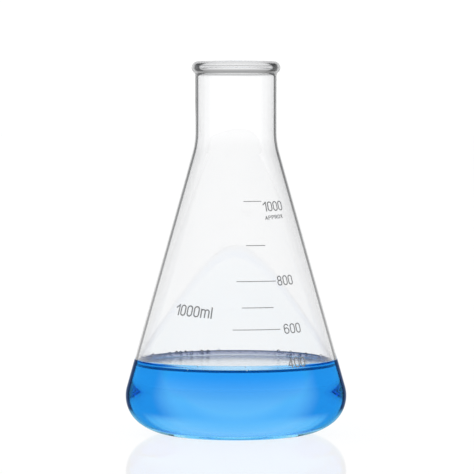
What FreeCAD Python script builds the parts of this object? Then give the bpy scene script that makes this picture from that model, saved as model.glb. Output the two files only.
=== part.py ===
"""A 1000 ml conical (Erlenmeyer) flask with a wide neck and a beaded rim, partly filled, with an
enamel scale on its front.

Millimetres, +Z up. The origin is the centre of the base, on the surface that the flask stands on.
The scale faces -Y. Distances round the flask are arcs on its outer surface, from the front
generatrix towards +X.
"""

import FreeCAD
import Part
import math
import os

V = FreeCAD.Vector
DOWN = math.radians(-90)
UP = math.radians(90)
FRONT = -90.0  # direction of -Y, in degrees from +X

# --- glass: driving dimensions ---
HEIGHT = 220.6
BODY_R = 65.5  # widest outer radius, just above the heel
NECK_R = 24.2  # outer radius of the straight neck
WALL = 2.1
CONE_HALF = math.radians(15.64)  # slope of the cone from the vertical
HEEL_R = 20.0  # tight part of the heel, next to the cone
UNDER_R = 33.0  # slow part of the heel, next to the foot
FOOT_R = 37.6  # outer edge of the flat ring that the flask stands on
FOOT_INNER_R = 33.0
SHOULDER_R = 49.3  # where the cone turns into the neck
PUSH_UP = 3.2  # how far the middle of the underside is raised
BASE_WALL = 3.0  # thickness of the glass in the middle of the base
BEAD_R = 3.9  # section radius of the rim's bead
BEAD_REACH = 2.05  # how far the bead stands out from the neck
BEAD_FILLET = 2.0
LIP_R = 1.3  # rounding between the bead's top and the bore

# --- liquid ---
SURFACE_Z = 41.7  # flat part of its surface
MENISCUS = 3.0  # how far it climbs the wall
CONTACT = math.radians(20.0)  # angle between its edge and the wall

# --- enamel print ---
INK = 0.12  # thickness of the fired enamel
LINE_WIDTH = 0.45
# capacity line: height, and the arcs at which it starts and ends
LINES = {
    "1000": (138.7, 4.3, 15.2),
    "900": (113.3, 5.8, 17.5),
    "800": (92.8, 0.3, 24.2),
    "700": (77.8, 3.5, 22.4),
    "600": (65.35, -2.0, 26.7),
}
# text: node name, characters, height of its middle, arc at its start, width, letter height,
# stroke, and climb, which is the rise of its base line per millimetre
TEXTS = [
    ("numeral_1000", "1000", 135.8, 16.2, 14.2, 5.9, 0.65, 0.04),
    ("word_approx", "APPROX", 129.5, 17.6, 13.0, 2.4, 0.4, 0.07),
    ("numeral_800", "800", 93.1, 25.0, 11.2, 5.9, 0.65, 0.04),
    ("numeral_600", "600", 65.6, 29.0, 12.0, 5.9, 0.65, 0.035),
    ("numeral_400", "400", 46.2, 31.5, 12.1, 5.9, 0.65, 0.05),
    ("capacity_1000ml", "1000ml", 75.5, -37.9, 24.2, 6.7, 0.8, -0.06),
]
LETTER_GAP = 0.18  # gap between letters, as a share of a plain letter's width
LETTER_DEPTH = 2.0  # how far a letter's cutter reaches each way through the film
LETTER_SHARE = {"1": 0.72, "m": 1.45, "l": 0.26}  # widths, as shares of a plain letter's
# proportions of the letters, as shares of the height or width between their outermost strokes
FLAG_FALL = 0.8  # how far the 1's flag falls, in widths
WAIST = 0.53  # height of the 8's waist
UPPER_INSET = 0.06  # how much the 8's upper ring is narrower on each side
BOWL_TOP = 0.6  # top of the 6's ring
OVER_6 = (135, 60, 30)  # directions of three points on the arc over the top of the 6, in degrees
BAR_4 = 0.27  # height of the 4's bar
POST_4 = 0.74  # place of the 4's post
X_HEIGHT = 0.74  # height of the m, as a share of the letter height
BAR_A = 0.3  # height of the A's bar, as a share of the letter height

# --- outline of the glass, worked out from the dimensions above ---
UNDER_C = (FOOT_R, UNDER_R)
HEEL_CR = BODY_R - HEEL_R
HEEL_CZ = UNDER_R - math.sqrt((UNDER_R - HEEL_R) ** 2 - (HEEL_CR - FOOT_R) ** 2)
HEEL_C = (HEEL_CR, HEEL_CZ)
HEEL_START = math.atan2(HEEL_CZ - UNDER_R, HEEL_CR - FOOT_R)
CONE_R = HEEL_CR + HEEL_R * math.cos(CONE_HALF)
CONE_Z = HEEL_CZ + HEEL_R * math.sin(CONE_HALF)
SHOULDER_CR = NECK_R + SHOULDER_R
SHOULDER_CZ = (
    CONE_Z
    + (CONE_R - NECK_R) / math.tan(CONE_HALF)
    + SHOULDER_R * math.tan(CONE_HALF / 2)
)
SHOULDER_C = (SHOULDER_CR, SHOULDER_CZ)
BORE_R = NECK_R - WALL
LIP_CR = BORE_R + LIP_R
LIP_CZ = HEIGHT - LIP_R
BEAD_CR = NECK_R + BEAD_REACH - BEAD_R
BEAD_CZ = LIP_CZ - math.sqrt((BEAD_R - LIP_R) ** 2 - (LIP_CR - BEAD_CR) ** 2)
FILLET_CR = NECK_R + BEAD_FILLET
FILLET_CZ = BEAD_CZ - math.sqrt((BEAD_R + BEAD_FILLET) ** 2 - (FILLET_CR - BEAD_CR) ** 2)
INNER_BASE_Z = PUSH_UP + BASE_WALL


def cone_radius(z, off=0.0):
    """Radius of the cone at height z, moved outwards by off at right angles to its surface."""
    return CONE_R - (z - CONE_Z) * math.tan(CONE_HALF) + off / math.cos(CONE_HALF)


def at(centre, radius, angle):
    """The point of a circle at an angle from the outward radial direction."""
    return (centre[0] + radius * math.cos(angle), centre[1] + radius * math.sin(angle))


def line(p, q):
    """A straight edge between two (radius, height) points."""
    return Part.LineSegment(V(p[0], 0, p[1]), V(q[0], 0, q[1])).toShape()


def arc(centre, radius, start, end):
    """An arc in the XZ plane, from angle start to angle end, in radians."""
    p, m, q = (at(centre, radius, a) for a in (start, (start + end) / 2, end))
    return Part.Arc(V(p[0], 0, p[1]), V(m[0], 0, m[1]), V(q[0], 0, q[1])).toShape()


def s_curve(p, q):
    """Two equal arcs from p to q, level at both ends. q is nearer the axis, and higher."""
    run = (p[0] - q[0]) / 2
    rise = (q[1] - p[1]) / 2
    radius = (run**2 + rise**2) / (2 * rise)
    sweep = math.asin(run / radius)
    return [
        arc((p[0], p[1] + radius), radius, DOWN, DOWN - sweep),
        arc((q[0], q[1] - radius), radius, UP - sweep, UP),
    ]


def heel(off):
    """The heel's two arcs, from the foot to the cone, moved outwards by off."""
    return [
        arc(UNDER_C, UNDER_R + off, DOWN, HEEL_START),
        arc(HEEL_C, HEEL_R + off, HEEL_START, CONE_HALF),
    ]


def revolved(edges):
    """The solid made by turning a closed outline in the XZ plane about the Z axis."""
    wire = Part.Wire(Part.__sortEdges__(edges))
    solid = Part.Face(wire).revolve(V(0, 0, 0), V(0, 0, 1), 360)
    return solid if solid.Volume > 0 else solid.reversed()


def flask_glass():
    """The one blown piece: pushed-up base, heel, cone, shoulder, neck and beaded rim."""
    cone_start = at(HEEL_C, HEEL_R, CONE_HALF)
    shoulder_start = at(SHOULDER_C, SHOULDER_R, math.pi + CONE_HALF)
    inner_cone = at(HEEL_C, HEEL_R - WALL, CONE_HALF)
    inner_shoulder = at(SHOULDER_C, SHOULDER_R + WALL, math.pi + CONE_HALF)
    fillet_angle = math.atan2(BEAD_CZ - FILLET_CZ, BEAD_CR - FILLET_CR)
    lip_angle = math.atan2(LIP_CZ - BEAD_CZ, LIP_CR - BEAD_CR)
    outer = [
        line((FOOT_INNER_R, 0), (FOOT_R, 0)),
        *heel(0),
        line(cone_start, shoulder_start),
        arc(SHOULDER_C, SHOULDER_R, math.pi + CONE_HALF, math.pi),
        line((NECK_R, SHOULDER_CZ), (NECK_R, FILLET_CZ)),
        arc((FILLET_CR, FILLET_CZ), BEAD_FILLET, math.pi, fillet_angle),
        arc((BEAD_CR, BEAD_CZ), BEAD_R, fillet_angle - math.pi, lip_angle),
        arc((LIP_CR, LIP_CZ), LIP_R, lip_angle, math.pi),
    ]
    inner = [
        line((BORE_R, LIP_CZ), (BORE_R, SHOULDER_CZ)),
        arc(SHOULDER_C, SHOULDER_R + WALL, math.pi, math.pi + CONE_HALF),
        line(inner_shoulder, inner_cone),
        *heel(-WALL),
        *s_curve((FOOT_R, WALL), (0, INNER_BASE_Z)),
        line((0, INNER_BASE_Z), (0, PUSH_UP)),
        *s_curve((FOOT_INNER_R, 0), (0, PUSH_UP)),
    ]
    return revolved(outer + inner)


def liquid():
    """The liquid at rest. It meets the glass face to face, and climbs the wall in a meniscus."""
    top_z = SURFACE_Z + MENISCUS
    wall_top = (cone_radius(top_z, -WALL), top_z)
    sweep = math.pi / 2 + CONE_HALF - CONTACT
    curve_r = MENISCUS / (1 - math.cos(sweep))
    centre = (wall_top[0] - curve_r * math.sin(sweep), SURFACE_Z + curve_r)
    return revolved(
        [
            *s_curve((FOOT_R, WALL), (0, INNER_BASE_Z)),
            *heel(-WALL),
            line(at(HEEL_C, HEEL_R - WALL, CONE_HALF), wall_top),
            arc(centre, curve_r, DOWN, DOWN + sweep),
            line((centre[0], SURFACE_Z), (0, SURFACE_Z)),
            line((0, SURFACE_Z), (0, INNER_BASE_Z)),
        ]
    )


# --- enamel print ---


def ink_shell(low, high):
    """The film of enamel thickness on the cone, all the way round, from height low to high."""
    corners = [
        (cone_radius(low), low),
        (cone_radius(low, INK), low),
        (cone_radius(high, INK), high),
        (cone_radius(high), high),
    ]
    return revolved([line(p, q) for p, q in zip(corners, corners[1:] + corners[:1])])


def scale_line(z, start, end):
    """A capacity line: a strip of the ink film, from one arc to the other."""
    half = LINE_WIDTH / 2 * math.cos(CONE_HALF)
    film = ink_shell(z - half, z + half)
    first, last = (math.degrees(a / cone_radius(z)) for a in (start, end))
    below = V(0, 0, z - LINE_WIDTH)
    wedge = Part.makeCylinder(BODY_R, 2 * LINE_WIDTH, below, V(0, 0, 1), last - first)
    wedge.rotate(V(0, 0, 0), V(0, 0, 1), first + FRONT)
    return film.common(wedge)


def bar_face(p, q, width):
    """A straight stroke from p to q, with square ends that reach half a width past them."""
    along = (q - p).normalize() * (width / 2)
    across = V(-along.y, along.x, 0)
    p, q = p - along, q + along
    corners = [p - across, q - across, q + across, p + across, p - across]
    return Part.Face(Part.makePolygon(corners))


def stroke_face(points, width):
    """A flat stroke along a path of (x, y) points. A point in a list of its own is the middle
    of an arc between its two neighbours. A path that ends where it starts is a closed loop."""
    flat = [V(*(p[0] if isinstance(p, list) else p), 0) for p in points]
    if len(points) == 2:
        return bar_face(flat[0], flat[1], width)
    edges = []
    start = 0
    while start < len(points) - 1:
        if isinstance(points[start + 1], list):
            edges.append(Part.Arc(*flat[start : start + 3]).toShape())
            start += 2
        else:
            edges.append(Part.LineSegment(*flat[start : start + 2]).toShape())
            start += 1
    wire = Part.Wire(edges)
    if points[0] != points[-1]:
        return Part.Face(wire.makeOffset2D(width / 2, 0, False, False, False))
    outside = Part.Face(wire.makeOffset2D(width / 2))
    return outside.cut(Part.Face(wire.makeOffset2D(-width / 2)))


def ring(x0, y0, x1, y1):
    """An upright closed loop with half-round ends."""
    xm = (x0 + x1) / 2
    r = (x1 - x0) / 2
    left = [(x0, y0 + r), (x0, y1 - r), [(xm, y1)]]
    right = [(x1, y1 - r), (x1, y0 + r), [(xm, y0)]]
    return left + right + left[:1]


def bowl(x0, y0, x1, y1):
    """An open stroke: out along y1, round a half circle, and back along y0."""
    r = (y1 - y0) / 2
    return [(x0, y1), (x1 - r, y1), [(x1, y0 + r)], (x1 - r, y0), (x0, y0)]


def glyph(letter, w, h, s):
    """The strokes of one letter or digit in a box of w by h, for strokes of width s."""
    x0, x1 = s / 2, w - s / 2
    y0, y1 = s / 2, h - s / 2
    xm, ym = w / 2, h / 2
    if letter in "0O":
        return [ring(x0, y0, x1, y1)]
    if letter == "1":
        flag = (x0, y1 - FLAG_FALL * (x1 - x0))
        return [[(x1, y0), (x1, y1)], [(x1, y1), flag]]
    if letter == "8":
        waist = y0 + WAIST * (y1 - y0)
        inset = UPPER_INSET * (x1 - x0)
        return [ring(x0, y0, x1, waist), ring(x0 + inset, waist, x1 - inset, y1)]
    if letter == "6":
        bowl_top = y0 + BOWL_TOP * (y1 - y0)
        r = (x1 - x0) / 2
        left, right, tip = (at((xm, y1 - r), r, math.radians(turn)) for turn in OVER_6)
        back = [(x0, y0 + r), (x0, y1 - r), [left], (xm, y1), [right], tip]
        return [ring(x0, y0, x1, bowl_top), back]
    if letter == "4":
        bar = y0 + BAR_4 * (y1 - y0)
        post = x0 + POST_4 * (x1 - x0)
        return [[(post, y0), (post, y1)], [(post, y1), (x0, bar)], [(x0, bar), (x1, bar)]]
    if letter == "m":
        top = X_HEIGHT * h
        hump = (x1 - x0) / 4
        foot = top - hump
        left = [(x0, foot), [(x0 + hump, top)], (xm, foot), (xm, y0)]
        right = [(xm, foot), [(xm + hump, top)], (x1, foot), (x1, y0)]
        return [[(x0, y0), (x0, top)], left, right]
    if letter == "l":
        return [[(xm, y0), (xm, y1)]]
    if letter == "A":
        bar = BAR_A * h
        step = (bar - y0) / (y1 - y0) * (xm - x0)
        sides = [[(x0, y0), (xm, y1)], [(xm, y1), (x1, y0)]]
        return sides + [[(x0 + step, bar), (x1 - step, bar)]]
    if letter == "X":
        return [[(x0, y0), (x1, y1)], [(x0, y1), (x1, y0)]]
    stem_and_bowl = [[(x0, y0), (x0, y1)], bowl(x0, ym, x1, y1)]
    if letter == "R":
        return stem_and_bowl + [[(xm, ym), (x1, y0)]]
    return stem_and_bowl


def printed_letter(letter, z, arc_at, size, climb, film):
    """One letter as a solid of ink, centred at height z and at distance arc_at round the cone."""
    width, height, stroke = size
    angle = arc_at / cone_radius(z)
    out = V(math.sin(angle), -math.cos(angle), 0)
    side = V(math.cos(angle), math.sin(angle), 0)
    up = V(0, 0, math.cos(CONE_HALF)) - out * math.sin(CONE_HALF)
    normal = side.cross(up)
    block = None
    for path in glyph(letter, width, height, stroke):
        piece = stroke_face(path, stroke).extrude(V(0, 0, 2 * LETTER_DEPTH))
        block = block.fuse(piece) if block else piece
    block.translate(V(-width / 2, -height / 2, -LETTER_DEPTH))
    block.rotate(V(0, 0, 0), V(0, 0, 1), math.degrees(math.atan(climb)))
    turn = FreeCAD.Rotation(side, up, normal, "ZXY")
    place = FreeCAD.Placement(out * cone_radius(z) + V(0, 0, z), turn)
    block.transformShape(place.toMatrix())
    return block.common(film).removeSplitter().Solids


def printed_text(letters, z, start, width, height, stroke, climb):
    """Letters of ink on the cone, each laid square on it, along a slightly sloping line."""
    shares = [LETTER_SHARE.get(c, 1.0) for c in letters]
    unit = width / (sum(shares) + LETTER_GAP * (len(letters) - 1))
    film = ink_shell(z - height, z + height)
    solids = []
    edge = start
    for letter, share in zip(letters, shares):
        middle = edge + share * unit / 2
        middle_z = z + climb * (middle - start - width / 2)
        size = (share * unit, height, stroke)
        solids += printed_letter(letter, middle_z, middle, size, climb, film)
        edge += (share + LETTER_GAP) * unit
    return Part.makeCompound(solids)


def write(node, shape):
    solids = shape.Solids
    good = all(s.isValid() and s.Volume > 0 for s in solids)
    print(f"{node}: {len(solids)} solids, {shape.Volume:.2f} mm3, valid {good}")
    shape.exportStep(f"parts/{node}.step")


os.makedirs("parts", exist_ok=True)
write("flask_glass", flask_glass())
write("liquid", liquid())
for mark, (z, start, end) in LINES.items():
    write(f"scale_line_{mark}", scale_line(z, start, end))
for node, *text in TEXTS:
    write(node, printed_text(*text))
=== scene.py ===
import math
import random

import bmesh
import bpy
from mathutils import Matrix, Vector


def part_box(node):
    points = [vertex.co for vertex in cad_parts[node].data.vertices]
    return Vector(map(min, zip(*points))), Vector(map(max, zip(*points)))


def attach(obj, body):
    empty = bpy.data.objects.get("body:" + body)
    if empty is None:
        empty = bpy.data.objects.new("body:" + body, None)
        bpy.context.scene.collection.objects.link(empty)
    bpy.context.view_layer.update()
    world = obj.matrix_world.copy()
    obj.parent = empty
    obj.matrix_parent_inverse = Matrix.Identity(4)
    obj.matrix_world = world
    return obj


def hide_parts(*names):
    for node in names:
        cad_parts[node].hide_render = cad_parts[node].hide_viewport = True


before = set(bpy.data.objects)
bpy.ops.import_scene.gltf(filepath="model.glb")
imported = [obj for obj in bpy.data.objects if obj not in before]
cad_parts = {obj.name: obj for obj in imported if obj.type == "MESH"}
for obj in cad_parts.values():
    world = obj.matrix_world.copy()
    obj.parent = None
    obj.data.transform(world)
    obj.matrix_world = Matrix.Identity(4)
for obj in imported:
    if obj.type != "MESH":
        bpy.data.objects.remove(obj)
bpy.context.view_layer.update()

MM = 0.001

# --- the glass's outline, in millimetres, as in the CAD part ---
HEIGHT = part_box("flask_glass")[1].z / MM
BODY_R = 65.5
NECK_R = 24.2
WALL = 2.1
CONE_HALF = math.radians(15.64)
HEEL_R = 20.0
UNDER_R = 33.0
FOOT_R = 37.6
FOOT_INNER_R = 33.0
SHOULDER_R = 49.3
PUSH_UP = 3.2
BASE_WALL = 3.0
BEAD_R = 3.9
BEAD_REACH = 2.05
BEAD_FILLET = 2.0
LIP_R = 1.3
SURFACE_Z = 41.7
CONTACT_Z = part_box("liquid")[1].z / MM
CONTACT_ANGLE = math.radians(20.0)

GLASS_IOR = 1.47
WETTED_IOR = 1.01  # stands in for glass's own where liquid backs the wall, to keep a white veil off it
LIQUID_IOR = 1.333
WHITE = (1, 1, 1, 1)
FREE_SURFACE = "free_surface"  # a face attribute: 1 on the liquid's open top, 0 elsewhere
AROUND = 288  # faces round the flask
RIM_ZONE = 9.0  # height of the rim's bead and the fillet under it
RIM_DEPTH = 5.0  # thickness of the bead, where the wall's own would be too thin for its painted edge shade
EDGE_SPREAD = 4.0  # walls' depth over which the dry glass's painted edge shade is spread
WETTED_SPREAD = 16.0  # the same for the wetted glass
LEVEL_FROM = 0.8  # uprightness of the normal where the base starts to count as level
FROTH_CLIMB = 2.6  # height over which the froth is spread
FROTH_SPREAD = 0.35  # how far the lower bubbles stand off the wall, for each mm they lie lower
# radius of the white beads that are painted glints
GLINT_BEAD_R = 0.45
BEAD_INTO_WALL = 0.85  # how far a painted glint bead's middle lies inside the wall, in front of the dark line of painted shade
SHADE_HEIGHT = 45.0  # height that the liquid's painted shade bands are placed by, as shares of it
LINE_TOP = 42.3  # where the dark line of painted shade round the liquid's side ends
OVERLAP = 0.25  # how far the liquid reaches into the glass, so that no air shows between them
LIQUID_PASSES = 5  # crossings after which light counts as having come through the liquid

UNDER_C = (FOOT_R, UNDER_R)
HEEL_CR = BODY_R - HEEL_R
HEEL_CZ = UNDER_R - math.sqrt((UNDER_R - HEEL_R) ** 2 - (HEEL_CR - FOOT_R) ** 2)
HEEL_C = (HEEL_CR, HEEL_CZ)
HEEL_START = math.atan2(HEEL_CZ - UNDER_R, HEEL_CR - FOOT_R)
CONE_R = HEEL_CR + HEEL_R * math.cos(CONE_HALF)
CONE_Z = HEEL_CZ + HEEL_R * math.sin(CONE_HALF)
SHOULDER_C = (
    NECK_R + SHOULDER_R,
    CONE_Z
    + (CONE_R - NECK_R) / math.tan(CONE_HALF)
    + SHOULDER_R * math.tan(CONE_HALF / 2),
)
BORE_R = NECK_R - WALL
LIP_C = (BORE_R + LIP_R, HEIGHT - LIP_R)
BEAD_CR = NECK_R + BEAD_REACH - BEAD_R
BEAD_C = (
    BEAD_CR,
    LIP_C[1] - math.sqrt((BEAD_R - LIP_R) ** 2 - (LIP_C[0] - BEAD_CR) ** 2),
)
FILLET_CR = NECK_R + BEAD_FILLET
FILLET_C = (
    FILLET_CR,
    BEAD_C[1] - math.sqrt((BEAD_R + BEAD_FILLET) ** 2 - (FILLET_CR - BEAD_CR) ** 2),
)
DOWN = math.radians(-90)
UP = math.radians(90)


def cone_radius(z, off=0.0):
    return CONE_R - (z - CONE_Z) * math.tan(CONE_HALF) + off / math.cos(CONE_HALF)


def arc(centre, radius, start, end, steps):
    """Points along an arc, both ends included."""
    turns = (start + (end - start) * i / steps for i in range(steps + 1))
    return [(centre[0] + radius * math.cos(a), centre[1] + radius * math.sin(a)) for a in turns]


def run(p, q, steps):
    """Points along a straight line, without its ends."""
    shares = (i / steps for i in range(1, steps))
    return [(p[0] + (q[0] - p[0]) * s, p[1] + (q[1] - p[1]) * s) for s in shares]


def s_curve(p, q, steps):
    """Two equal arcs from p in to q, level at both ends."""
    half_run = (p[0] - q[0]) / 2
    half_rise = (q[1] - p[1]) / 2
    radius = (half_run**2 + half_rise**2) / (2 * half_rise)
    sweep = math.asin(half_run / radius)
    low = arc((p[0], p[1] + radius), radius, DOWN, DOWN - sweep, steps)
    high = arc((q[0], q[1] - radius), radius, UP - sweep, UP, steps)
    return low + high[1:]


def heel(off):
    slow = arc(UNDER_C, UNDER_R + off, DOWN, HEEL_START, 24)
    return slow + arc(HEEL_C, HEEL_R + off, HEEL_START, CONE_HALF, 36)[1:]


def glass_outline():
    """The whole section of the glass, from the axis under the base to the axis inside it."""
    fillet_angle = math.atan2(BEAD_C[1] - FILLET_C[1], BEAD_C[0] - FILLET_C[0])
    lip_angle = math.atan2(LIP_C[1] - BEAD_C[1], LIP_C[0] - BEAD_C[0])
    turn = math.pi + CONE_HALF
    under = s_curve((FOOT_INNER_R, 0), (0, PUSH_UP), 16)[::-1]
    low = heel(0)
    shoulder = arc(SHOULDER_C, SHOULDER_R, turn, math.pi, 24)
    fillet = arc(FILLET_C, BEAD_FILLET, math.pi, fillet_angle, 12)
    bead = arc(BEAD_C, BEAD_R, fillet_angle - math.pi, lip_angle, 32)
    lip = arc(LIP_C, LIP_R, lip_angle, math.pi, 16)
    inner_shoulder = arc(SHOULDER_C, SHOULDER_R + WALL, math.pi, turn, 24)
    inner_low = heel(-WALL)[::-1]
    outer_contact = (cone_radius(CONTACT_Z), CONTACT_Z)
    outer = under + run(under[-1], low[0], 4) + low
    outer += run(low[-1], outer_contact, 12) + [outer_contact]
    outer += run(outer_contact, shoulder[0], 50) + shoulder
    outer += run(shoulder[-1], fillet[0], 16) + fillet + bead[1:] + lip[1:]
    inner = run(lip[-1], inner_shoulder[0], 18) + inner_shoulder
    contact = (cone_radius(CONTACT_Z, -WALL), CONTACT_Z)
    inner += run(inner_shoulder[-1], contact, 50) + [contact]
    inner += run(contact, inner_low[0], 12) + inner_low
    inner += s_curve((FOOT_R, WALL), (0, PUSH_UP + BASE_WALL), 16)[1:]
    return outer, inner


def lathe(name, outline, materials, slot_of, wobble=None):
    """A closed mesh of revolution from an outline that starts and ends on the axis.
    slot_of gives the material slot of each band from its index and its middle height."""
    bm = bmesh.new()
    rings = []
    for index, (r, z) in enumerate(outline):
        if index in (0, len(outline) - 1):
            rings.append([bm.verts.new((0, 0, z * MM))])
            continue
        ring = []
        for step in range(AROUND):
            angle = 2 * math.pi * step / AROUND
            reach = (r + (wobble(index, angle, z) if wobble else 0.0)) * MM
            ring.append(bm.verts.new((reach * math.cos(angle), reach * math.sin(angle), z * MM)))
        rings.append(ring)
    for index, (low, high) in enumerate(zip(rings, rings[1:])):
        slot = slot_of(index, (outline[index][1] + outline[index + 1][1]) / 2)
        for step in range(AROUND):
            after = (step + 1) % AROUND
            if len(low) == 1:
                face = bm.faces.new((low[0], high[after], high[step]))
            elif len(high) == 1:
                face = bm.faces.new((low[step], low[after], high[0]))
            else:
                face = bm.faces.new((low[step], low[after], high[after], high[step]))
            face.material_index = slot
    bmesh.ops.recalc_face_normals(bm, faces=bm.faces)
    mesh = bpy.data.meshes.new(name)
    bm.to_mesh(mesh)
    bm.free()
    for material in materials:
        mesh.materials.append(material)
    for polygon in mesh.polygons:
        polygon.use_smooth = True
    piece = bpy.data.objects.new(name, mesh)
    bpy.context.scene.collection.objects.link(piece)
    return piece


# --- materials ---


def new_material(name):
    material = bpy.data.materials.new(name)
    material.use_nodes = True
    tree = material.node_tree
    return material, tree, tree.nodes["Principled BSDF"]


def node(tree, kind, **values):
    """A node with its inputs or properties set by name."""
    made = tree.nodes.new(kind)
    for key, value in values.items():
        if key in made.inputs:
            made.inputs[key].default_value = value
        else:
            setattr(made, key, value)
    return made


def noise(tree, scale, detail=2.0, stretch=(1, 1, 1)):
    """Noise in the flask's own space, in metres, stretched along some axes."""
    coordinates = node(tree, "ShaderNodeTexCoord")
    mapping = node(tree, "ShaderNodeMapping")
    mapping.inputs["Scale"].default_value = stretch
    made = node(tree, "ShaderNodeTexNoise", Scale=scale, Detail=detail)
    tree.links.new(coordinates.outputs["Object"], mapping.inputs["Vector"])
    tree.links.new(mapping.outputs["Vector"], made.inputs["Vector"])
    return made.outputs["Fac"]


def ramp(tree, source, *stops):
    made = tree.nodes.new("ShaderNodeValToRGB")
    made.color_ramp.interpolation = "EASE"
    elements = made.color_ramp.elements
    while len(elements) < len(stops):
        elements.new(0.5)
    for element, (place, colour) in zip(elements, stops):
        element.position = place
        element.color = (*colour, 1.0)
    tree.links.new(source, made.inputs["Fac"])
    return made.outputs["Color"]


def bump(tree, shader, source, distance, strength=1.0):
    made = node(tree, "ShaderNodeBump", Strength=strength, Distance=distance)
    tree.links.new(source, made.inputs["Height"])
    tree.links.new(made.outputs["Normal"], shader.inputs["Normal"])


def glass_shader(name, ior):
    material, tree, shader = new_material(name)
    shader.inputs["Transmission Weight"].default_value = 1.0
    shader.inputs["IOR"].default_value = ior
    shader.inputs["Roughness"].default_value = 0.0
    bump(tree, shader, noise(tree, 30.0, 1.0, (1, 1, 0.4)), 0.0002, 0.15)
    return material, tree, shader


def calculate(tree, operation, first, second):
    """A maths node on two values, each a number or another node's output."""
    made = tree.nodes.new("ShaderNodeMath")
    made.operation = operation
    for socket, value in zip(made.inputs, (first, second)):
        if isinstance(value, (int, float)):
            socket.default_value = value
        else:
            tree.links.new(value, socket)
    return made.outputs["Value"]


def map_range(tree, source, low, high, to_low, to_high):
    made = node(tree, "ShaderNodeMapRange", interpolation_type="SMOOTHSTEP")
    ends = {"From Min": low, "From Max": high, "To Min": to_low, "To Max": to_high}
    for key, value in ends.items():
        made.inputs[key].default_value = value
    tree.links.new(source, made.inputs["Value"])
    return made.outputs["Result"]


def mix(tree, blend, share, first, second):
    """A mix of two colours, each a colour or another node's output, as is the share."""
    made = node(tree, "ShaderNodeMix", data_type="RGBA", blend_type=blend)
    for index, value in ((0, share), (6, first), (7, second)):
        if isinstance(value, bpy.types.NodeSocket):
            tree.links.new(value, made.inputs[index])
        else:
            made.inputs[index].default_value = value
    return made.outputs[2]


# The share that this gives places painted shade: the dark line at the edge of the dry glass, and the
# navy edge and deeper sides of the liquid on the wetted glass.
def edge_share(tree, spread, upright=False):
    """0 at the edge of a round piece of glass, as the viewer sees it, and 1 / spread where the
    line of sight first clears the wall and enters the bore. The depth that it reaches under the
    outside is radius * cosine^2 / 2, and the share is that over the wall's thickness and the
    spread. It depends on the angle of view, so it moves with the viewer. Upright takes out the
    surface's own slope, and leaves how far round the flask from the viewer the point lies."""
    place = node(tree, "ShaderNodeTexCoord")
    split = node(tree, "ShaderNodeSeparateXYZ")
    tree.links.new(place.outputs["Object"], split.inputs["Vector"])
    x2 = calculate(tree, "MULTIPLY", split.outputs["X"], split.outputs["X"])
    y2 = calculate(tree, "MULTIPLY", split.outputs["Y"], split.outputs["Y"])
    radius = calculate(tree, "SQRT", calculate(tree, "ADD", x2, y2), 0.0)
    edge = node(tree, "ShaderNodeLayerWeight", Blend=0.5)
    cosine = calculate(tree, "SUBTRACT", 1.0, edge.outputs["Facing"])
    depth = calculate(tree, "MULTIPLY", calculate(tree, "MULTIPLY", cosine, cosine), radius)
    if upright:
        lie = node(tree, "ShaderNodeSeparateXYZ")
        tree.links.new(place.outputs["Normal"], lie.inputs["Vector"])
        rise = calculate(tree, "MULTIPLY", lie.outputs["Z"], lie.outputs["Z"])
        level = calculate(tree, "MAXIMUM", calculate(tree, "SUBTRACT", 1.0, rise), 0.01)
        depth = calculate(tree, "DIVIDE", depth, level)
    bead_low = (HEIGHT - RIM_ZONE) * MM
    wall = map_range(
        tree, split.outputs["Z"], bead_low, bead_low + 2 * MM, WALL * MM, RIM_DEPTH * MM
    )
    return calculate(tree, "DIVIDE", depth, calculate(tree, "MULTIPLY", wall, 2 * spread))


def levelness(tree, low, high):
    """How level the surface lies, whether it faces up or down: 0 where the upright part of its
    normal is under low, and 1 where it is over high."""
    place = node(tree, "ShaderNodeTexCoord")
    split = node(tree, "ShaderNodeSeparateXYZ")
    tree.links.new(place.outputs["Normal"], split.inputs["Vector"])
    size = calculate(tree, "ABSOLUTE", split.outputs["Z"], 0.0)
    return map_range(tree, size, low, high, 0.0, 1.0)


def outer_glass():
    """The dry outside of the glass. The dark line just inside its edge is painted shade, by the angle
    of view, and its level parts are greyed with painted shade."""
    material, tree, shader = glass_shader("clear_glass", GLASS_IOR)
    # Painted shade by the angle of view: a dark line just inside the edge.
    sides = ramp(
        tree,
        edge_share(tree, EDGE_SPREAD),
        (0.0, (0.60, 0.61, 0.62)),
        (0.05, (0.30, 0.305, 0.31)),
        (0.09, (0.004, 0.0045, 0.005)),
        (0.19, (0.004, 0.0045, 0.005)),
        (0.25, (0.58, 0.585, 0.595)),
        (0.45, (0.72, 0.723, 0.73)),
        (0.70, (0.85, 0.853, 0.86)),
        (1.0, (0.975, 0.977, 0.98)),
    )
    # Painted shade: the level parts of the glass are greyed.
    level = (0.72, 0.725, 0.735, 1)
    colour = mix(tree, "MIX", levelness(tree, 0.5, 0.85), sides, level)
    tree.links.new(colour, shader.inputs["Base Color"])
    return material


def inner_glass():
    """The dry inside of the glass."""
    material, tree, shader = glass_shader("clear_glass_inside", GLASS_IOR)
    tone = ramp(tree, noise(tree, 40.0), (0.3, (0.985, 0.987, 0.99)), (0.7, (0.995, 0.996, 0.997)))
    tree.links.new(tone, shader.inputs["Base Color"])
    return material


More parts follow.
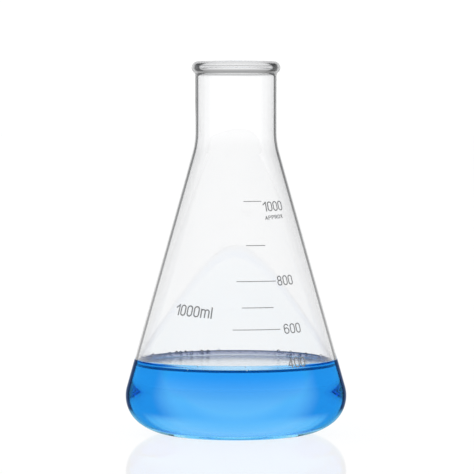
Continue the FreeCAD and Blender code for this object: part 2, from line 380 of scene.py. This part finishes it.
def wetted_outer_glass():
    """The outside of the glass where liquid backs it. Much of the liquid's blue is painted here. The
    blue stands for the dye; its navy edge and its deepening to the sides, by the angle of view, and to
    the top, by height, are painted shade. The first two move with the viewer."""
    material, tree, shader = glass_shader("clear_glass_wetted", WETTED_IOR)
    share = edge_share(tree, WETTED_SPREAD, upright=True)
    # Painted shade by the angle of view: the navy edge, and deeper blue to the sides.
    sides = ramp(
        tree,
        share,
        (0.0, (0.004, 0.012, 0.05)),
        (0.03, (0.0001, 0.002, 0.015)),
        (0.055, (0.0001, 0.0016, 0.022)),
        (0.086, (0.003, 0.18, 0.64)),
        (0.40, (0.006, 0.21, 0.64)),
        (0.74, (0.31, 0.65, 0.93)),
        (1.0, (0.98, 0.985, 0.99)),
    )
    place = node(tree, "ShaderNodeTexCoord")
    split = node(tree, "ShaderNodeSeparateXYZ")
    tree.links.new(place.outputs["Object"], split.inputs["Vector"])
    # Painted shade by height: the blue deepens towards the top, and ends at LINE_TOP.
    height = map_range(tree, split.outputs["Z"], 10 * MM, 40 * MM, 0.0, 1.0)
    shade_by_height = mix(tree, "MIX", height, (0.98, 0.99, 1, 1), (0.022, 0.34, 0.80, 1))
    above = map_range(tree, split.outputs["Z"], LINE_TOP * MM, (LINE_TOP + 0.4) * MM, 0.0, 1.0)
    shade_by_height = mix(tree, "MIX", above, shade_by_height, WHITE)
    sides = mix(tree, "DARKEN", 1.0, sides, shade_by_height)
    # On the sloping and level parts under the liquid: blue by the angle of view, darker towards the
    # edge as painted shade.
    base = ramp(
        tree,
        share,
        (0.0, (0.02, 0.20, 0.45)),
        (0.05, (0.006, 0.15, 0.48)),
        (0.17, (0.004, 0.19, 0.63)),
        (0.27, (0.10, 0.50, 0.86)),
        (0.38, (0.30, 0.68, 0.93)),
        (0.55, (0.66, 0.84, 0.98)),
    )
    base = mix(tree, "MIX", levelness(tree, LEVEL_FROM, 0.93), base, (0.09, 0.51, 0.86, 1))
    outside = mix(tree, "MIX", levelness(tree, 0.3, 0.6), sides, base)
    inside = node(tree, "ShaderNodeNewGeometry").outputs["Backfacing"]
    tree.links.new(mix(tree, "MIX", inside, outside, WHITE), shader.inputs["Base Color"])
    return material


def wetted_inner_glass():
    """The inside of the glass under the liquid, where hardly anything shows."""
    material, tree, shader = glass_shader("clear_glass_wetted_inside", WETTED_IOR)
    tone = ramp(tree, noise(tree, 40.0), (0.3, (0.985, 0.987, 0.99)), (0.7, (0.995, 0.996, 0.997)))
    tree.links.new(tone, shader.inputs["Base Color"])
    return material


def blue_liquid():
    """Blue dye in water. What it absorbs gives part of its colour, and the paint on the wetted
    glass the rest, much of it painted shade. A dark line round its side, seen from outside, and the
    lavender of the curve where its surface climbs the wall, seen from above, are painted shade,
    placed by height. The level surface has more mirror than water has where the eye only grazes it."""
    material, tree, shader = new_material("blue_liquid")
    shader.inputs["Transmission Weight"].default_value = 1.0
    shader.inputs["IOR"].default_value = LIQUID_IOR
    shader.inputs["Roughness"].default_value = 0.0
    place = node(tree, "ShaderNodeTexCoord")
    split = node(tree, "ShaderNodeSeparateXYZ")
    tree.links.new(place.outputs["Object"], split.inputs["Vector"])
    height = calculate(tree, "DIVIDE", split.outputs["Z"], SHADE_HEIGHT * MM)
    # Painted shade: a dark line round the side, near the level of the surface.
    side = ramp(
        tree,
        height,
        (0.905, (1, 1, 1)),
        (0.915, (0.003, 0.035, 0.10)),
        (0.942, (0.003, 0.035, 0.10)),
        (0.948, (1, 1, 1)),
    )
    # Painted shade on the curve where the surface climbs the wall: lavender, darker higher up.
    meniscus = ramp(
        tree,
        height,
        (0.928, (1, 1, 1)),
        (0.938, (0.17, 0.20, 0.33)),
        (0.985, (0.04, 0.05, 0.11)),
    )
    inside = node(tree, "ShaderNodeNewGeometry").outputs["Backfacing"]
    free = node(tree, "ShaderNodeAttribute", attribute_name=FREE_SURFACE).outputs["Fac"]
    outside = mix(tree, "MIX", free, side, meniscus)
    tree.links.new(mix(tree, "MIX", inside, outside, WHITE), shader.inputs["Base Color"])
    edge = node(tree, "ShaderNodeLayerWeight", Blend=0.5)
    grazed = map_range(tree, edge.outputs["Facing"], 0.45, 0.85, 0.0, 0.85)
    above = calculate(tree, "MULTIPLY", free, calculate(tree, "SUBTRACT", 1.0, inside))
    mirror = calculate(tree, "MULTIPLY", grazed, above)
    tree.links.new(mirror, shader.inputs["Metallic"])
    tree.links.new(calculate(tree, "MULTIPLY", mirror, 0.2), shader.inputs["Roughness"])
    dye = node(tree, "ShaderNodeVolumeAbsorption", Density=19.0)
    dye.inputs["Color"].default_value = (0.10, 0.72, 0.98, 1)
    output = tree.nodes["Material Output"]
    tree.links.new(dye.outputs["Volume"], output.inputs["Volume"])
    return material


def froth_film():
    """Thin bubbles: clear, with a darker rim of painted shade, by the angle of view."""
    material, tree, shader = new_material("froth")
    shader.inputs["Transmission Weight"].default_value = 1.0
    shader.inputs["IOR"].default_value = LIQUID_IOR
    shader.inputs["Roughness"].default_value = 0.0
    edge = node(tree, "ShaderNodeLayerWeight", Blend=0.5)
    colour = ramp(
        tree,
        edge.outputs["Facing"],
        (0.12, (0.95, 0.96, 0.99)),
        (0.35, (0.15, 0.18, 0.30)),
        (0.8, (0.03, 0.05, 0.12)),
    )
    tree.links.new(colour, shader.inputs["Base Color"])
    return material


def painted_glint_white():
    """Painted glints: white beads that stand in for the glints of clear bubbles."""
    material, tree, shader = new_material("bead")
    tone = ramp(tree, noise(tree, 900.0), (0.3, (0.93, 0.96, 0.99)), (0.7, (0.98, 0.99, 1.0)))
    tree.links.new(tone, shader.inputs["Base Color"])
    shader.inputs["Transmission Weight"].default_value = 0.15
    shader.inputs["Roughness"].default_value = 0.1
    return material


def enamel():
    """Fired grey enamel: satin, slightly uneven in tone, with a fine grain."""
    material, tree, shader = new_material("enamel")
    tone = ramp(
        tree,
        noise(tree, 900.0, 3.0),
        (0.3, (0.29, 0.295, 0.305)),
        (0.7, (0.38, 0.385, 0.395)),
    )
    tree.links.new(tone, shader.inputs["Base Color"])
    shader.inputs["Roughness"].default_value = 0.45
    bump(tree, shader, noise(tree, 2500.0, 2.0), 0.00003, 0.5)
    return material


def white_floor():
    """A white sheet with a faint mirror image in it. Most of its white is its own glow, which
    keeps it even and takes nearly all the shadow away."""
    material, tree, shader = new_material("white_floor")
    shader.inputs["Base Color"].default_value = (0.9, 0.9, 0.9, 1)
    shader.inputs["Roughness"].default_value = 0.6
    shader.inputs["Specular IOR Level"].default_value = 0.0
    glow = node(tree, "ShaderNodeEmission", Strength=1.22)
    mirror = node(tree, "ShaderNodeBsdfGlossy", Roughness=0.04)
    lit = node(tree, "ShaderNodeMixShader", Fac=0.8)
    both = node(tree, "ShaderNodeMixShader", Fac=0.18)
    tree.links.new(shader.outputs["BSDF"], lit.inputs[1])
    tree.links.new(glow.outputs["Emission"], lit.inputs[2])
    tree.links.new(lit.outputs["Shader"], both.inputs[1])
    tree.links.new(mirror.outputs["BSDF"], both.inputs[2])
    tree.links.new(both.outputs["Shader"], tree.nodes["Material Output"].inputs["Surface"])
    return material


# --- pieces ---


def thickness_wobble(inner_from):
    """Slow waves on the inside of the wall only, as blown glass has."""
    draw = random.Random(7)
    waves = [
        (
            draw.randint(2, 5),
            draw.uniform(0.02, 0.06),
            draw.uniform(0, 6.28),
            draw.uniform(0.03, 0.06),
        )
        for _ in range(5)
    ]

    def offset(index, angle, z):
        if index < inner_from or z < 2 * PUSH_UP:
            return 0.0
        return sum(
            size * math.sin(count * angle + phase + z * climb)
            for count, climb, phase, size in waves
        )

    return offset


def glass_body():
    outer, inner = glass_outline()

    def slot_of(index, z):
        inside = index >= len(outer) - 1
        return inside + 2 * (z < CONTACT_Z)

    materials = (outer_glass(), inner_glass(), wetted_outer_glass(), wetted_inner_glass())
    wobble = thickness_wobble(len(outer))
    piece = lathe("glass_vessel", outer + inner, materials, slot_of, wobble)
    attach(piece, "root")
    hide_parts("flask_glass")


def liquid_body():
    """The liquid, up to its meniscus. Its sides and base reach a little into the glass."""
    wall_off = OVERLAP - WALL
    inner_base = PUSH_UP + BASE_WALL
    base = s_curve((FOOT_R, WALL - OVERLAP), (0, inner_base - OVERLAP), 16)[::-1]
    sides = heel(wall_off)
    wall_top = (cone_radius(CONTACT_Z, wall_off), CONTACT_Z)
    sweep = math.pi / 2 + CONE_HALF - CONTACT_ANGLE
    curve_r = (CONTACT_Z - SURFACE_Z) / (1 - math.cos(sweep))
    touch_r = cone_radius(CONTACT_Z, -WALL)
    centre = (touch_r - curve_r * math.sin(sweep), SURFACE_Z + curve_r)
    meniscus = arc(centre, curve_r, DOWN + sweep, DOWN, 24)
    outline = base + sides[1:] + run(sides[-1], wall_top, 12) + [wall_top]
    side_bands = len(outline)
    outline += meniscus + run(meniscus[-1], (0, SURFACE_Z), 24) + [(0, SURFACE_Z)]
    piece = lathe("blue_liquid", outline, (blue_liquid(),), lambda index, z: 0)
    free = piece.data.attributes.new(FREE_SURFACE, "FLOAT", "FACE")
    for index, value in enumerate(free.data):
        value.value = float(index >= side_bands * AROUND)
    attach(piece, "root")
    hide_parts("liquid")


def froth():
    """Small bubbles where the liquid meets the glass, most of them behind, to the left and the
    right, and two white beads, which are painted glints, on the dark line of painted shade at the
    front."""
    draw = random.Random(11)
    spans = [(106, 174)] * 110 + [(3, 64)] * 70 + [(60, 110)] * 14
    places = [(draw.uniform(*span), 0.25 + 0.85 * draw.random() ** 2) for span in spans]
    places += [(draw.uniform(180, 360), draw.uniform(0.2, 0.4)) for _ in range(10)]
    bm = bmesh.new()
    for degrees, radius in places:
        angle = math.radians(degrees)
        climb = draw.uniform(0.0, FROTH_CLIMB)
        z = SURFACE_Z + 0.6 + climb
        reach = cone_radius(z, -WALL) - radius - (FROTH_CLIMB - climb) * FROTH_SPREAD
        ball = bmesh.ops.create_icosphere(bm, subdivisions=2, radius=radius * MM)
        middle = Vector((reach * math.cos(angle), reach * math.sin(angle), z)) * MM
        bmesh.ops.translate(bm, verts=ball["verts"], vec=middle)
    # The two painted glints: white beads inside the wall, in front of the dark line.
    for degrees in (-118, -84):
        angle = math.radians(degrees)
        z = SURFACE_Z + 0.7
        reach = cone_radius(z, -WALL) + BEAD_INTO_WALL
        ball = bmesh.ops.create_icosphere(bm, subdivisions=3, radius=GLINT_BEAD_R * MM)
        middle = Vector((reach * math.cos(angle), reach * math.sin(angle), z)) * MM
        bmesh.ops.translate(bm, verts=ball["verts"], vec=middle)
        for face in {face for vert in ball["verts"] for face in vert.link_faces}:
            face.material_index = 1
    mesh = bpy.data.meshes.new("froth")
    bm.to_mesh(mesh)
    bm.free()
    mesh.materials.append(froth_film())
    mesh.materials.append(painted_glint_white())
    for polygon in mesh.polygons:
        polygon.use_smooth = True
    piece = bpy.data.objects.new("froth", mesh)
    bpy.context.scene.collection.objects.link(piece)
    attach(piece, "root")


def paint_prints(material):
    for name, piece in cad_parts.items():
        if name in ("flask_glass", "liquid"):
            continue
        piece.data.materials.clear()
        piece.data.materials.append(material)


# --- stage ---


def stage_floor(material):
    bpy.ops.mesh.primitive_circle_add(vertices=96, radius=60.0, fill_type="NGON")
    floor = bpy.context.active_object
    floor.name = "floor"
    floor.data.materials.append(material)


def studio_world():
    """White all round at the height of the flask, dimmer above that, so that the sloping glass
    shows no glare, and a little dimmer on the right. Light that has crossed LIQUID_PASSES
    boundaries is not dimmed, so the liquid's base stays clear. The camera itself always sees
    white."""
    world = bpy.data.worlds.new("studio")
    bpy.context.scene.world = world
    world.use_nodes = True
    tree = world.node_tree
    background = tree.nodes["Background"]
    background.inputs["Color"].default_value = (1, 1, 1, 1)
    direction = node(tree, "ShaderNodeTexCoord")
    split = node(tree, "ShaderNodeSeparateXYZ")
    tree.links.new(direction.outputs["Generated"], split.inputs["Vector"])
    raised = map_range(tree, split.outputs["Z"], 0.06, 0.35, 0.0, 0.62)
    right = map_range(tree, split.outputs["X"], 0.0, 1.0, 0.0, 0.15)
    seen = node(tree, "ShaderNodeLightPath")
    shallow = calculate(tree, "LESS_THAN", seen.outputs["Transmission Depth"], LIQUID_PASSES)
    dim = calculate(tree, "MULTIPLY", calculate(tree, "ADD", raised, right), shallow)
    spread = calculate(tree, "SUBTRACT", 1.06, dim)
    strength = calculate(tree, "MAXIMUM", spread, seen.outputs["Is Camera Ray"])
    tree.links.new(strength, background.inputs["Strength"])


def place_camera():
    """A long lens, slightly above the middle of the flask and looking down at its base."""
    away = 1.700
    height = 0.18466
    side = 0.00059
    target = Vector((side, 0, 0.1167))
    data = bpy.data.cameras.new("camera")
    data.lens = 217.94
    data.sensor_width = 36.0
    data.clip_end = 50.0
    camera = bpy.data.objects.new("camera", data)
    camera.location = (side, -away, height)
    camera.rotation_euler = (target - camera.location).to_track_quat("-Z", "Y").to_euler()
    bpy.context.scene.collection.objects.link(camera)
    bpy.context.scene.camera = camera


glass_body()
liquid_body()
froth()
paint_prints(enamel())
stage_floor(white_floor())
studio_world()
place_camera()

scene = bpy.context.scene
scene.view_settings.view_transform = "Standard"
scene.cycles.max_bounces = 32
scene.cycles.transmission_bounces = 32
scene.cycles.glossy_bounces = 16
